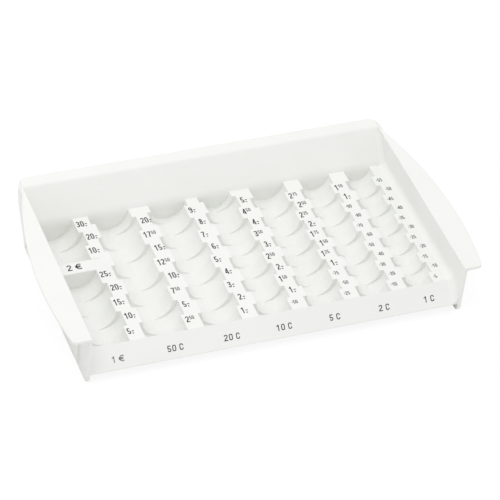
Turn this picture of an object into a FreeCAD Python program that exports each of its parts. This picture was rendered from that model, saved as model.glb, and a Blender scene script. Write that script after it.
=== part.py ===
import FreeCAD, Part
import math
import os
import Sketcher
from FreeCAD import Vector

# A coin counting tray, moulded in one kind of white plastic.
# Seven columns of half-round channels run from front to back, one for each
# coin. A channel is a row of segments that stand to the left and to the right
# in turn. Each segment is as long as five coins, so that the coins can be
# counted in fives and the number beside a segment's end gives their value.
# X runs along the tray's width, -Y is the front and Z=0 is the table top.

# Euro coins: their diameters, in millimetres
DIAMETER_2_EURO = 25.75
DIAMETER_1_EURO = 23.25
DIAMETER_50_CENT = 24.25
DIAMETER_20_CENT = 22.25
DIAMETER_10_CENT = 19.75
DIAMETER_5_CENT = 21.25
DIAMETER_2_CENT = 18.75
DIAMETER_1_CENT = 16.25

# Segments: the length of five coins, with a little play
SEGMENT_LENGTH_2_EURO = 11.35
SEGMENT_LENGTH_1_EURO = 11.75
SEGMENT_LENGTH_50_CENT = 11.9
SEGMENT_LENGTH_20_CENT = 10.75
SEGMENT_LENGTH_10_CENT = 9.75
SEGMENT_LENGTH_5_CENT = 8.5
SEGMENT_LENGTH_2_CENT = 8.5
SEGMENT_LENGTH_1_CENT = 8.5
SEGMENT_SHIFT = 1.2
LEAST_SEGMENT_SHARE = 0.15

# Channels and deck
CHANNEL_LENGTH = 101.6
FRONT_CHANNEL_LENGTH = 58.75
STRIP_WIDTH = 8.8
COIN_PLAY = 0.1
CHANNEL_DROP = 0.2
FIRST_RIDGE_WIDTH = 9.45
RIDGE_WIDTH = 10.0
LEFT_MARGIN = 1.15
RIGHT_MARGIN = 10.5
DECK_THICKNESS = 2.0
SHELL_THICKNESS = 1.5

# Heights: the channels' undersides over the table, and the rim over the deck
TABLE_CLEARANCE = 0.725
RIM_RISE = 17.5

# Walls, wings and ribs
WALL_THICKNESS = 2.0
WALL_FRONT_REACH = 10.8
WALL_FOOT_REAR = 0.5
FOOT_CORNER_RADIUS = 3.0
WING_THICKNESS = 2.0
WING_REACH = 14.9
WING_WIDEST_PLACE = 33.0
WING_REAR_SETBACK = 11.3
WING_CORNER_RADIUS = 3.0
RIB_WIDTH = 1.8
RIB_REACH = 1.5
RIB_FIRST_PLACE = 4.0
RIB_FOOT_HEIGHT = 4.4
RIB_COUNT = 4

# Front band and back panel
BAND_REACH = 10.2
BAND_ANGLE = 45.0
BAND_THICKNESS = 1.8
CLOSING_WALL_THICKNESS = 2.0
PANEL_THICKNESS = 2.0
PANEL_RUN = 15.4
LIP_WIDTH = 8.3
LIP_ROUND_RADIUS = 1.2
REAR_CORNER_RADIUS = 8.5

doc = FreeCAD.newDocument("coin_counting_tray")
sheet = doc.addObject("Spreadsheet::Sheet", "Sizes")


class Size:
    """A length with its number and the expression that drives it."""

    def __init__(self, value, text):
        self.value = value
        self.text = text

    def __add__(self, other):
        other = as_size(other)
        return Size(self.value + other.value, "(%s + %s)" % (self.text, other.text))

    def __sub__(self, other):
        other = as_size(other)
        return Size(self.value - other.value, "(%s - %s)" % (self.text, other.text))

    def __mul__(self, other):
        other = as_size(other)
        return Size(self.value * other.value, "(%s * %s)" % (self.text, other.text))

    def __truediv__(self, other):
        other = as_size(other)
        return Size(self.value / other.value, "(%s / %s)" % (self.text, other.text))

    def __neg__(self):
        return Size(-self.value, "(0 - %s)" % self.text)


def as_size(number):
    if isinstance(number, Size):
        return number
    return Size(float(number), repr(number))


def square_root(size):
    return Size(math.sqrt(size.value), "sqrt(%s)" % size.text)


def round_up(size):
    return Size(math.ceil(size.value), "ceil(%s)" % size.text)


def round_down(size):
    return Size(math.floor(size.value), "floor(%s)" % size.text)


def at_least_one(size):
    return Size(max(size.value, 1), "max(%s; 1)" % size.text)


def sine(size):
    return Size(math.sin(math.radians(size.value)), "sin(%s * 1 deg)" % size.text)


def cosine(size):
    return Size(math.cos(math.radians(size.value)), "cos(%s * 1 deg)" % size.text)


sheet_rows = []


def driving(alias, number):
    """Write one driving dimension into the sheet and return it as a Size."""
    sheet_rows.append(alias)
    row = len(sheet_rows)
    sheet.set("A%d" % row, alias)
    sheet.set("B%d" % row, str(number))
    sheet.setAlias("B%d" % row, alias)
    return Size(float(number), "Sizes.%s" % alias)


COINS = ["2_euro", "1_euro", "50_cent", "20_cent", "10_cent", "5_cent", "2_cent", "1_cent"]
coin_diameters = [
    DIAMETER_2_EURO, DIAMETER_1_EURO, DIAMETER_50_CENT, DIAMETER_20_CENT,
    DIAMETER_10_CENT, DIAMETER_5_CENT, DIAMETER_2_CENT, DIAMETER_1_CENT,
]
segment_lengths = [
    SEGMENT_LENGTH_2_EURO, SEGMENT_LENGTH_1_EURO, SEGMENT_LENGTH_50_CENT, SEGMENT_LENGTH_20_CENT,
    SEGMENT_LENGTH_10_CENT, SEGMENT_LENGTH_5_CENT, SEGMENT_LENGTH_2_CENT, SEGMENT_LENGTH_1_CENT,
]
coin_radius = {}
segment_length = {}
for coin, diameter, length in zip(COINS, coin_diameters, segment_lengths):
    coin_radius[coin] = driving("diameter_%s" % coin, diameter) / 2
    segment_length[coin] = driving("segment_length_%s" % coin, length)

segment_shift = driving("segment_shift", SEGMENT_SHIFT)
least_segment_share = driving("least_segment_share", LEAST_SEGMENT_SHARE)
channel_length = driving("channel_length", CHANNEL_LENGTH)
front_channel_length = driving("front_channel_length", FRONT_CHANNEL_LENGTH)
strip_width = driving("strip_width", STRIP_WIDTH)
coin_play = driving("coin_play", COIN_PLAY)
channel_drop = driving("channel_drop", CHANNEL_DROP)
first_ridge_width = driving("first_ridge_width", FIRST_RIDGE_WIDTH)
ridge_width = driving("ridge_width", RIDGE_WIDTH)
left_margin = driving("left_margin", LEFT_MARGIN)
right_margin = driving("right_margin", RIGHT_MARGIN)
deck_thickness = driving("deck_thickness", DECK_THICKNESS)
shell_thickness = driving("shell_thickness", SHELL_THICKNESS)
table_clearance = driving("table_clearance", TABLE_CLEARANCE)
rim_rise = driving("rim_rise", RIM_RISE)
wall_thickness = driving("wall_thickness", WALL_THICKNESS)
wall_front_reach = driving("wall_front_reach", WALL_FRONT_REACH)
wall_foot_rear = driving("wall_foot_rear", WALL_FOOT_REAR)
foot_corner_radius = driving("foot_corner_radius", FOOT_CORNER_RADIUS)
wing_thickness = driving("wing_thickness", WING_THICKNESS)
wing_reach = driving("wing_reach", WING_REACH)
wing_widest_place = driving("wing_widest_place", WING_WIDEST_PLACE)
wing_rear_setback = driving("wing_rear_setback", WING_REAR_SETBACK)
wing_corner_radius = driving("wing_corner_radius", WING_CORNER_RADIUS)
rib_width = driving("rib_width", RIB_WIDTH)
rib_reach = driving("rib_reach", RIB_REACH)
rib_first_place = driving("rib_first_place", RIB_FIRST_PLACE)
rib_foot_height = driving("rib_foot_height", RIB_FOOT_HEIGHT)
rib_count = driving("rib_count", RIB_COUNT)
band_reach = driving("band_reach", BAND_REACH)
band_angle = driving("band_angle", BAND_ANGLE)
band_thickness = driving("band_thickness", BAND_THICKNESS)
closing_wall_thickness = driving("closing_wall_thickness", CLOSING_WALL_THICKNESS)
panel_thickness = driving("panel_thickness", PANEL_THICKNESS)
panel_run = driving("panel_run", PANEL_RUN)
lip_width = driving("lip_width", LIP_WIDTH)
lip_round_radius = driving("lip_round_radius", LIP_ROUND_RADIUS)
rear_corner_radius = driving("rear_corner_radius", REAR_CORNER_RADIUS)

doc.recompute()

ZERO = as_size(0)
SKETCH_AXES = ["none", "across", "upright"]
SKETCH_POINTS = ["edge", "start", "end", "centre"]


def axis_number(name):
    """The sketcher counts its two axes downwards from zero."""
    return -SKETCH_AXES.index(name)


def point_number(name):
    return SKETCH_POINTS.index(name)


def place_x(sketch, geometry, point, size):
    """Fix the sketch's horizontal coordinate of a point."""
    if size.text == "0":
        axis = axis_number("upright")
        sketch.addConstraint(Sketcher.Constraint("PointOnObject", geometry, point_number(point), axis))
        return
    constraint = Sketcher.Constraint("DistanceX", -1, 1, geometry, point_number(point), size.value)
    index = sketch.addConstraint(constraint)
    sketch.setExpression("Constraints[%d]" % index, size.text)


def place_y(sketch, geometry, point, size):
    """Fix the sketch's vertical coordinate of a point."""
    if size.text == "0":
        axis = axis_number("across")
        sketch.addConstraint(Sketcher.Constraint("PointOnObject", geometry, point_number(point), axis))
        return
    constraint = Sketcher.Constraint("DistanceY", -1, 1, geometry, point_number(point), size.value)
    index = sketch.addConstraint(constraint)
    sketch.setExpression("Constraints[%d]" % index, size.text)


def fix_radius(sketch, geometry, size):
    index = sketch.addConstraint(Sketcher.Constraint("Radius", geometry, size.value))
    sketch.setExpression("Constraints[%d]" % index, size.text)


def join(sketch, first, first_point, second, second_point, kind="Coincident"):
    """Make two ends meet, or with the kind Tangent, flow into each other."""
    first_number = point_number(first_point)
    second_number = point_number(second_point)
    sketch.addConstraint(Sketcher.Constraint(kind, first, first_number, second, second_number))


def new_body(name):
    body = doc.addObject("PartDesign::Body", name)
    body.Label = name
    return body


def new_sketch(body, name, plane, offset=ZERO):
    """Put a sketch on one of the body's own planes, moved along its normal."""
    sketch = body.newObject("Sketcher::SketchObject", name)
    origin_plane = [item for item in body.Origin.OriginFeatures if item.Role == plane][0]
    sketch.AttachmentSupport = [(origin_plane, "")]
    sketch.MapMode = "FlatFace"
    if offset.text != "0":
        sketch.setExpression("AttachmentOffset.Base.z", offset.text)
    return sketch


def line(start, end):
    return Part.LineSegment(Vector(start[0], start[1], 0), Vector(end[0], end[1], 0))


def arc(centre_x, centre_y, radius, first_angle, last_angle):
    circle = Part.Circle(Vector(centre_x, centre_y, 0), Vector(0, 0, 1), radius)
    return Part.ArcOfCircle(circle, first_angle, last_angle)


def draw_outline(sketch, corners):
    """Draw a closed outline of straight sides.

    Each corner is (x, y) or (x, y, radius). A corner with a radius becomes an
    arc that is tangent to both sides, round a point that keeps the corner."""
    count = len(corners)
    spots = [Vector(corner[0].value, corner[1].value, 0) for corner in corners]
    leaving = []
    arriving = []
    for index, corner in enumerate(corners):
        here = spots[index]
        to_last = (spots[index - 1] - here).normalize()
        to_next = (spots[(index + 1) % count] - here).normalize()
        setback = 0
        if len(corner) == 3:
            setback = corner[2].value / math.tan(to_last.getAngle(to_next) / 2)
        arriving.append(here + to_last * setback)
        leaving.append(here + to_next * setback)
    sides = []
    for index in range(count):
        side = Part.LineSegment(leaving[index], arriving[(index + 1) % count])
        sides.append(sketch.addGeometry(side, False))
    for index, corner in enumerate(corners):
        before = sides[index - 1]
        after = sides[index]
        if len(corner) == 2:
            join(sketch, before, "end", after, "start")
            place_x(sketch, after, "start", corner[0])
            place_y(sketch, after, "start", corner[1])
        else:
            round_corner(sketch, before, after, spots[index], arriving[index], leaving[index], corner)


def round_corner(sketch, before, after, spot, arrival, departure, corner):
    """Join two sides with an arc and hold their meeting point in place."""
    radius = corner[2].value
    middle = (arrival + departure) * 0.5
    outward = (spot - middle).normalize()
    half_chord = (departure - arrival).Length / 2
    centre = middle - outward * math.sqrt(radius ** 2 - half_chord ** 2)
    bend = Part.Arc(arrival, centre + outward * radius, departure)
    bend_index = sketch.addGeometry(bend, False)
    turns_left = (spot - arrival).cross(departure - spot).z > 0
    first = "start" if turns_left else "end"
    last = "end" if turns_left else "start"
    join(sketch, before, "end", bend_index, first, "Tangent")
    join(sketch, bend_index, last, after, "start", "Tangent")
    fix_radius(sketch, bend_index, corner[2])
    point_index = sketch.addGeometry(Part.Point(spot), True)
    sketch.addConstraint(Sketcher.Constraint("PointOnObject", point_index, 1, before))
    sketch.addConstraint(Sketcher.Constraint("PointOnObject", point_index, 1, after))
    place_x(sketch, point_index, "start", corner[0])
    place_y(sketch, point_index, "start", corner[1])


def pad(body, sketch, name, length, reverse):
    feature = body.newObject("PartDesign::Pad", name)
    feature.Profile = sketch
    feature.setExpression("Length", length.text)
    feature.Reversed = reverse
    body.Tip = feature
    return feature


def cut_through(body, sketch, name):
    """Cut the sketch out of the whole body, both ways."""
    doc.recompute()
    volume_before = body.Shape.Volume
    feature = body.newObject("PartDesign::Pocket", name)
    feature.Profile = sketch
    feature.Type = "ThroughAll"
    feature.Midplane = True
    body.Tip = feature
    doc.recompute()
    if body.Shape.Volume >= volume_before:
        raise RuntimeError("%s cuts nothing" % name)
    return feature


def repeat_along_y(body, feature, name, spacing, count):
    """Repeat a feature from front to back."""
    pattern = body.newObject("PartDesign::LinearPattern", name)
    pattern.Originals = [feature]
    y_axis = [item for item in body.Origin.OriginFeatures if item.Role == "Y_Axis"][0]
    pattern.Direction = (y_axis, [""])
    pattern.setExpression("Length", (spacing * at_least_one(count - 1)).text)
    pattern.setExpression("Occurrences", count.text)
    body.Tip = pattern
    return pattern


def place_body(body, x_text, y_size, z_size):
    body.setExpression("Placement.Base.x", x_text)
    body.setExpression("Placement.Base.y", y_size.text)
    body.setExpression("Placement.Base.z", z_size.text)


# The tray as a whole. The 2 euro channel is the deepest, so the walls that
# close the channels' ends and the height of the deck both follow from it.
closing_wall_depth = channel_drop + coin_radius["2_euro"] + coin_play + shell_thickness
deck_height = closing_wall_depth + table_clearance
rim_height = deck_height + rim_rise
tray_depth = wall_front_reach + channel_length + panel_run + lip_width
channel_front_y = wall_front_reach - tray_depth / 2
panel_foot_y = channel_front_y + channel_length
tray_back_y = tray_depth / 2

COLUMNS = ["2_euro", "50_cent", "20_cent", "10_cent", "5_cent", "2_cent", "1_cent"]
ridge_before = {}
column_offset = {"2_euro": ZERO}
for before, after in zip(COLUMNS, COLUMNS[1:]):
    ridge_before[after] = first_ridge_width if before == COLUMNS[0] else ridge_width
    gap = coin_radius[before] + ridge_before[after] + coin_radius[after]
    column_offset[after] = column_offset[before] + gap
first_left_edge = coin_radius["2_euro"] + left_margin
deck_width = first_left_edge + column_offset["1_cent"] + coin_radius["1_cent"] + right_margin
wall_inner_x = deck_width / 2
wall_outer_x = wall_inner_x + wall_thickness
first_column_x = first_left_edge - deck_width / 2


# Channels: each body's own frame has the channel's middle line at X=0, its
# front end at Y=0 and the deck's top at Z=0.
def draw_trough_section(sketch, radius, left_edge, right_edge):
    """A strip of deck with the round underside of the channel's shell.

    The underside is two arcs, one round the segments on each side, with a flat
    between them. Beside the left-hand wall the wall may cut the shell off."""
    shell_radius = radius + coin_play + shell_thickness
    shift = segment_shift.value
    centre_y = -channel_drop.value
    rise = channel_drop - deck_thickness
    reach = square_root(shell_radius * shell_radius - rise * rise)
    lowest_y = centre_y - shell_radius.value
    first_x = -shift - reach.value
    first_y = -deck_thickness.value
    left_is_cut = left_edge.value < shift + reach.value
    if left_is_cut:
        first_x = -left_edge.value
        first_y = centre_y - math.sqrt(shell_radius.value ** 2 - (first_x + shift) ** 2)
    first_angle = math.atan2(first_y - centre_y, first_x + shift) + 2 * math.pi
    last_angle = math.atan2(rise.value, reach.value)
    deck_left = (-left_edge.value, 0)
    deck_right = (right_edge.value, 0)
    under_right = (right_edge.value, -deck_thickness.value)
    shell_right = (shift + reach.value, -deck_thickness.value)
    left_shell = arc(-shift, centre_y, shell_radius.value, first_angle, 3 * math.pi / 2)
    right_shell = arc(shift, centre_y, shell_radius.value, -math.pi / 2, last_angle)
    left_shell_index = sketch.addGeometry(left_shell, False)
    bottom_index = sketch.addGeometry(line((-shift, lowest_y), (shift, lowest_y)), False)
    right_shell_index = sketch.addGeometry(right_shell, False)
    under_index = sketch.addGeometry(line(shell_right, under_right), False)
    right_index = sketch.addGeometry(line(under_right, deck_right), False)
    top_index = sketch.addGeometry(line(deck_right, deck_left), False)
    join(sketch, left_shell_index, "end", bottom_index, "start")
    join(sketch, bottom_index, "end", right_shell_index, "start")
    join(sketch, right_shell_index, "end", under_index, "start")
    join(sketch, under_index, "end", right_index, "start")
    join(sketch, right_index, "end", top_index, "start")
    for index, bottom_point, offset in (
            (left_shell_index, "end", -segment_shift), (right_shell_index, "start", segment_shift)):
        place_x(sketch, index, "centre", offset)
        place_y(sketch, index, "centre", -channel_drop)
        fix_radius(sketch, index, shell_radius)
        place_x(sketch, index, bottom_point, offset)
    place_y(sketch, right_shell_index, "end", -deck_thickness)
    place_y(sketch, under_index, "end", -deck_thickness)
    place_x(sketch, under_index, "end", right_edge)
    place_x(sketch, top_index, "start", right_edge)
    place_y(sketch, top_index, "start", ZERO)
    place_y(sketch, top_index, "end", ZERO)
    place_x(sketch, top_index, "end", -left_edge)
    if left_is_cut:
        left_index = sketch.addGeometry(line(deck_left, (first_x, first_y)), False)
        join(sketch, top_index, "end", left_index, "start")
        join(sketch, left_index, "end", left_shell_index, "start")
        place_x(sketch, left_shell_index, "start", -left_edge)
        return
    under_left = (-left_edge.value, -deck_thickness.value)
    left_index = sketch.addGeometry(line(deck_left, under_left), False)
    shelf_index = sketch.addGeometry(line(under_left, (first_x, first_y)), False)
    join(sketch, top_index, "end", left_index, "start")
    join(sketch, left_index, "end", shelf_index, "start")
    join(sketch, shelf_index, "end", left_shell_index, "start")
    place_x(sketch, left_index, "end", -left_edge)
    place_y(sketch, left_index, "end", -deck_thickness)
    place_y(sketch, left_shell_index, "start", -deck_thickness)


def draw_hollow(sketch, coin, offset):
    """A segment's hollow: a half circle with short upright sides above it."""
    radius = coin_radius[coin] + coin_play
    top = deck_thickness
    left_x = offset.value - radius.value
    right_x = offset.value + radius.value
    centre_y = -channel_drop.value
    half_round = arc(offset.value, centre_y, radius.value, math.pi, 2 * math.pi)
    arc_index = sketch.addGeometry(half_round, False)
    right_index = sketch.addGeometry(line((right_x, centre_y), (right_x, top.value)), False)
    top_index = sketch.addGeometry(line((right_x, top.value), (left_x, top.value)), False)
    left_index = sketch.addGeometry(line((left_x, top.value), (left_x, centre_y)), False)
    join(sketch, arc_index, "end", right_index, "start")
    join(sketch, right_index, "end", top_index, "start")
    join(sketch, top_index, "end", left_index, "start")
    join(sketch, left_index, "end", arc_index, "start")
    place_x(sketch, arc_index, "centre", offset)
    place_y(sketch, arc_index, "centre", -channel_drop)
    fix_radius(sketch, arc_index, radius)
    place_y(sketch, arc_index, "start", -channel_drop)
    place_y(sketch, arc_index, "end", -channel_drop)
    sketch.addConstraint(Sketcher.Constraint("Vertical", right_index))
    sketch.addConstraint(Sketcher.Constraint("Vertical", left_index))
    place_y(sketch, top_index, "start", top)
    place_y(sketch, top_index, "end", top)


def cut_segment(body, name, coin, offset, first_y):
    """Cut one segment's hollow into the deck strip, one segment long."""
    sketch = new_sketch(body, "%s_%s" % (name, coin), "XZ_Plane", -first_y)
    draw_hollow(sketch, coin, offset)
    feature = body.newObject("PartDesign::Pocket", "%s_cut_%s" % (name, coin))
    feature.Profile = sketch
    feature.setExpression("Length", segment_length[coin].text)
    body.Tip = feature
    return feature


def build_trough(coin, length, left_edge, right_edge):
    """One coin's channel with its share of the deck.

    The segment at the front end stands to the left and the next one to the
    right. The last segment runs on to the channel's back end."""
    body = new_body("trough_%s" % coin)
    section = new_sketch(body, "section_%s" % coin, "XZ_Plane")
    draw_trough_section(section, coin_radius[coin], left_edge, right_edge)
    pad(body, section, "deck_strip_%s" % coin, length, True)
    pitch = segment_length[coin]
    count = round_up(length / pitch - least_segment_share)
    before_last = count - 1
    left_segment = cut_segment(body, "left_segment", coin, -segment_shift, ZERO)
    left_count = at_least_one(round_up(before_last / 2))
    repeat_along_y(body, left_segment, "left_segments_%s" % coin, pitch * 2, left_count)
    right_segment = cut_segment(body, "right_segment", coin, segment_shift, pitch)
    right_count = at_least_one(round_down(before_last / 2))
    repeat_along_y(body, right_segment, "right_segments_%s" % coin, pitch * 2, right_count)
    is_odd = count - round_down(count / 2) * 2
    last_offset = segment_shift * (as_size(1) - is_odd * 2)
    last_segment = cut_segment(body, "last_segment", coin, last_offset, pitch * before_last)
    last_segment.Type = "ThroughAll"
    return body


bodies = []
first_right_edge = coin_radius["2_euro"] + first_ridge_width / 2
rear_channel_length = channel_length - front_channel_length - strip_width

# The two channels of the first column are in line along their right sides.
radius_difference = coin_radius["2_euro"] - coin_radius["1_euro"]
front_left_edge = first_left_edge + radius_difference
front_right_edge = first_right_edge - radius_difference
trough_1_euro = build_trough("1_euro", front_channel_length, front_left_edge, front_right_edge)
front_column_x = first_column_x + radius_difference
place_body(trough_1_euro, front_column_x.text, channel_front_y, deck_height)
bodies.append(trough_1_euro)

trough_2_euro = build_trough("2_euro", rear_channel_length, first_left_edge, first_right_edge)
rear_channel_y = channel_front_y + front_channel_length + strip_width
place_body(trough_2_euro, first_column_x.text, rear_channel_y, deck_height)
bodies.append(trough_2_euro)

# Each further column stands one ridge beside the column before it.
for before, coin in zip(COLUMNS, COLUMNS[1:]):
    left_edge = coin_radius[coin] + ridge_before[coin] / 2
    right_edge = coin_radius[coin] + ridge_width / 2
    if coin == COLUMNS[-1]:
        right_edge = coin_radius[coin] + right_margin
    trough = build_trough(coin, channel_length, left_edge, right_edge)
    gap = coin_radius[before] + ridge_before[coin] + coin_radius[coin]
    x_text = "trough_%s.Placement.Base.x + %s * 1 mm" % (before, gap.text)
    place_body(trough, x_text, channel_front_y, deck_height)
    bodies.append(trough)


# Divider strip: an upside-down U across the first column. Its two legs close
# the channels in front of it and behind it.
divider = new_body("divider_strip")
divider_sketch = new_sketch(divider, "divider_section", "YZ_Plane", -first_left_edge)
leg_inner = strip_width - closing_wall_thickness
draw_outline(divider_sketch, [
    (ZERO, ZERO),
    (ZERO, -closing_wall_depth),
    (closing_wall_thickness, -closing_wall_depth),
    (closing_wall_thickness, -deck_thickness),
    (leg_inner, -deck_thickness),
    (leg_inner, -closing_wall_depth),
    (strip_width, -closing_wall_depth),
    (strip_width, ZERO),
])
pad(divider, divider_sketch, "divider_pad", first_left_edge + first_right_edge, False)
place_body(divider, first_column_x.text, channel_front_y + front_channel_length, deck_height)
bodies.append(divider)


# Front band: a sheet that slopes down to the front, with the upright wall
# behind it that closes the channels' front ends.
band = new_body("front_band")
band_sketch = new_sketch(band, "band_section", "YZ_Plane", -wall_inner_x)
band_drop = band_reach * sine(band_angle) / cosine(band_angle)
band_edge_y = band_thickness * sine(band_angle)
band_edge_z = band_thickness * cosine(band_angle)
wall_meets_band = closing_wall_thickness - band_edge_y
draw_outline(band_sketch, [
    (ZERO, ZERO),
    (-band_reach, -band_drop),
    (band_edge_y - band_reach, -(band_drop + band_edge_z)),
    (-closing_wall_thickness,
     -(band_edge_z + (closing_wall_thickness + band_edge_y) * sine(band_angle) / cosine(band_angle))),
    (-closing_wall_thickness, -closing_wall_depth),
    (ZERO, -closing_wall_depth),
])
pad(band, band_sketch, "band_pad", deck_width, False)
place_body(band, "0", channel_front_y, deck_height)
bodies.append(band)


# Back panel: a sheet that slopes up and back to the rim, with the rim's flat
# lip behind it and the wall below that closes the channels' back ends.
panel_length = square_root(panel_run * panel_run + rim_rise * rim_rise)
panel_sine = rim_rise / panel_length
panel_cosine = panel_run / panel_length
panel_slope = rim_rise / panel_run
under_y = panel_thickness * panel_sine
under_z = panel_thickness * panel_cosine


def draw_corner_waste(sketch, side):
    """What is cut away outside the tray's rounded rear corner, seen from above."""
    radius = rear_corner_radius
    centre_x = (wall_outer_x - radius) * side
    centre_y = tray_back_y - radius
    outer_x = wall_outer_x * side
    spare = radius / 2
    first_angle, last_angle = (0, math.pi / 2) if side > 0 else (math.pi / 2, math.pi)
    corner = arc(centre_x.value, centre_y.value, radius.value, first_angle, last_angle)
    side_point, back_point = ("start", "end") if side > 0 else ("end", "start")
    far_x = (wall_outer_x + spare) * side
    far_y = tray_back_y + spare
    spots = [
        (outer_x, centre_y),
        (far_x, centre_y),
        (far_x, far_y),
        (centre_x, far_y),
        (centre_x, tray_back_y),
    ]
    corner_index = sketch.addGeometry(corner, False)
    lines = []
    for start, end in zip(spots, spots[1:]):
        side_line = line((start[0].value, start[1].value), (end[0].value, end[1].value))
        lines.append(sketch.addGeometry(side_line, False))
    for first, second in zip(lines, lines[1:]):
        join(sketch, first, "end", second, "start")
    join(sketch, corner_index, side_point, lines[0], "start")
    join(sketch, corner_index, back_point, lines[-1], "end")
    place_x(sketch, corner_index, "centre", centre_x)
    place_y(sketch, corner_index, "centre", centre_y)
    fix_radius(sketch, corner_index, radius)
    place_y(sketch, corner_index, side_point, centre_y)
    place_x(sketch, corner_index, back_point, centre_x)
    for index, spot in zip(lines, spots[1:-1]):
        place_x(sketch, index, "end", spot[0])
        place_y(sketch, index, "end", spot[1])


panel = new_body("back_panel")
panel_sketch = new_sketch(panel, "panel_section", "YZ_Plane", -wall_inner_x)
panel_top_y = panel_foot_y + panel_run
underside_meets_wall_z = deck_height - under_z + (closing_wall_thickness - under_y) * panel_slope
underside_meets_lip_y = panel_foot_y + under_y + (rim_rise - wing_thickness + under_z) / panel_slope
draw_outline(panel_sketch, [
    (panel_foot_y, deck_height - closing_wall_depth),
    (panel_foot_y, deck_height),
    (panel_top_y, rim_height, lip_round_radius),
    (tray_back_y, rim_height, lip_round_radius),
    (tray_back_y, rim_height - wing_thickness),
    (underside_meets_lip_y, rim_height - wing_thickness),
    (panel_foot_y + closing_wall_thickness, underside_meets_wall_z),
    (panel_foot_y + closing_wall_thickness, deck_height - closing_wall_depth),
])
pad(panel, panel_sketch, "panel_pad", deck_width, False)
for side, label in ((-1, "left"), (1, "right")):
    waste_sketch = new_sketch(panel, "panel_corner_%s" % label, "XY_Plane")
    draw_corner_waste(waste_sketch, side)
    cut_through(panel, waste_sketch, "panel_corner_cut_%s" % label)
bodies.append(panel)


# Side walls: an upright wall that ends in the runner on the table, the flat
# wing on top with its curved outer edge, and short ribs under the wing.
# The wing's outer edge is one arc. It is widest at wing_widest_y and ends in
# the middle of the wall's thickness at wing_rear_y.
wall_front_y = -tray_depth / 2
wall_middle_x = wall_inner_x + wall_thickness / 2
wing_widest_y = channel_front_y + wing_widest_place
wing_rear_y = tray_back_y - wing_rear_setback
wing_half_chord = wing_rear_y - wing_widest_y
wing_bulge = wing_reach - wall_thickness / 2
wing_curve_radius = (wing_half_chord * wing_half_chord + wing_bulge * wing_bulge) / (wing_bulge * 2)
rib_spacing = (channel_length - rib_first_place * 2) / (rib_count - 1)


def draw_wing(sketch, side):
    """The wing from above: straight inside, front and back, curved outside."""
    inner_x = wall_inner_x * side
    rear_y = wing_rear_y
    centre_x = (wall_inner_x + wing_reach - wing_curve_radius) * side
    centre_y = wing_widest_y
    radius = wing_curve_radius.value
    front_angle = math.asin((wall_front_y.value - centre_y.value) / radius)
    rear_angle = math.asin((rear_y.value - centre_y.value) / radius)
    front_x = centre_x.value + side * radius * math.cos(front_angle)
    rear_x = centre_x.value + side * radius * math.cos(rear_angle)
    if side > 0:
        edge = arc(centre_x.value, centre_y.value, radius, front_angle, rear_angle)
        front_point, rear_point = "start", "end"
    else:
        edge = arc(centre_x.value, centre_y.value, radius, math.pi - rear_angle, math.pi - front_angle)
        front_point, rear_point = "end", "start"
    edge_index = sketch.addGeometry(edge, False)
    rear_line = line((rear_x, rear_y.value), (inner_x.value, rear_y.value))
    inner_line = line((inner_x.value, rear_y.value), (inner_x.value, wall_front_y.value))
    front_line = line((inner_x.value, wall_front_y.value), (front_x, wall_front_y.value))
    rear_index = sketch.addGeometry(rear_line, False)
    inner_index = sketch.addGeometry(inner_line, False)
    front_index = sketch.addGeometry(front_line, False)
    join(sketch, edge_index, rear_point, rear_index, "start")
    join(sketch, rear_index, "end", inner_index, "start")
    join(sketch, inner_index, "end", front_index, "start")
    join(sketch, front_index, "end", edge_index, front_point)
    place_x(sketch, edge_index, "centre", centre_x)
    place_y(sketch, edge_index, "centre", centre_y)
    fix_radius(sketch, edge_index, wing_curve_radius)
    place_y(sketch, edge_index, rear_point, rear_y)
    place_y(sketch, edge_index, front_point, wall_front_y)
    place_x(sketch, inner_index, "start", inner_x)
    place_y(sketch, inner_index, "start", rear_y)
    place_x(sketch, inner_index, "end", inner_x)
    place_y(sketch, inner_index, "end", wall_front_y)


def outer_front_edge(shape):
    """The name of the wing's upright edge at its front outer corner."""
    best_name = None
    best_reach = 0
    for index, edge in enumerate(shape.Edges):
        first = edge.Vertexes[0].Point
        last = edge.Vertexes[-1].Point
        upright = abs(first.x - last.x) < 0.001 and abs(first.y - last.y) < 0.001
        at_front = abs(first.y - wall_front_y.value) < 0.001
        if upright and at_front and abs(first.x) > best_reach:
            best_reach = abs(first.x)
            best_name = "Edge%d" % (index + 1)
    return best_name


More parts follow.
